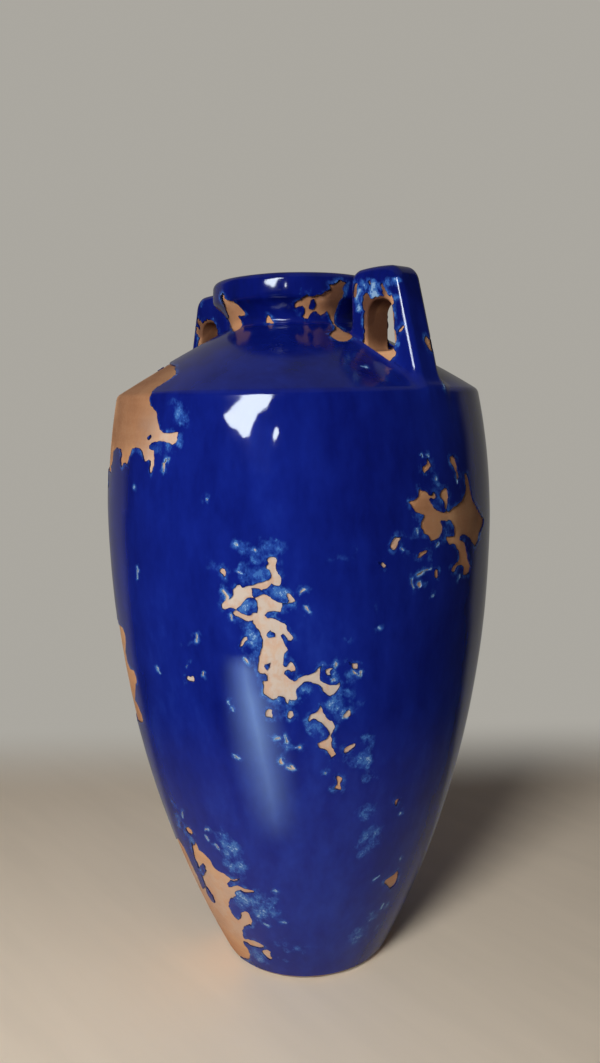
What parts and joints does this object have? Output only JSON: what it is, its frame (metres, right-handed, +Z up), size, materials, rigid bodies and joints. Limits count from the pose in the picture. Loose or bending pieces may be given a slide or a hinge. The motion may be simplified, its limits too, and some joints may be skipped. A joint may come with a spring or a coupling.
{
  "type": "two-handled jar",
  "caption": "Tall shouldered terracotta jar with a short flared neck, upright pierced lug handles and a worn cobalt glaze, for holding liquids or for display.",
  "frame": {"origin": "centre of the foot, on the surface that the jar stands on", "axes": "+Z up along the jar's axis, +X through the middle of the right handle, the left handle along -X"},
  "size_m": [0.1786, 0.1786, 0.3223],
  "materials": {
    "terracotta": "unglazed fired clay, matt and slightly porous",
    "cobalt_glaze": "thick glossy cobalt blue glaze with losses that show the clay",
    "inner_glaze": "thinner glossy blue glaze inside the jar"
  },
  "bodies": {
    "root": {"base_slab": "terracotta", "body_wall": "terracotta", "shoulder": "terracotta", "neck_collar": "terracotta", "handle_right": "terracotta", "handle_left": "terracotta", "glaze_body": "cobalt_glaze", "glaze_shoulder": "cobalt_glaze", "glaze_neck": "cobalt_glaze", "glaze_handle_right": "cobalt_glaze", "glaze_handle_left": "cobalt_glaze", "inner_glaze": "inner_glaze"}
  },
  "joints": []
}
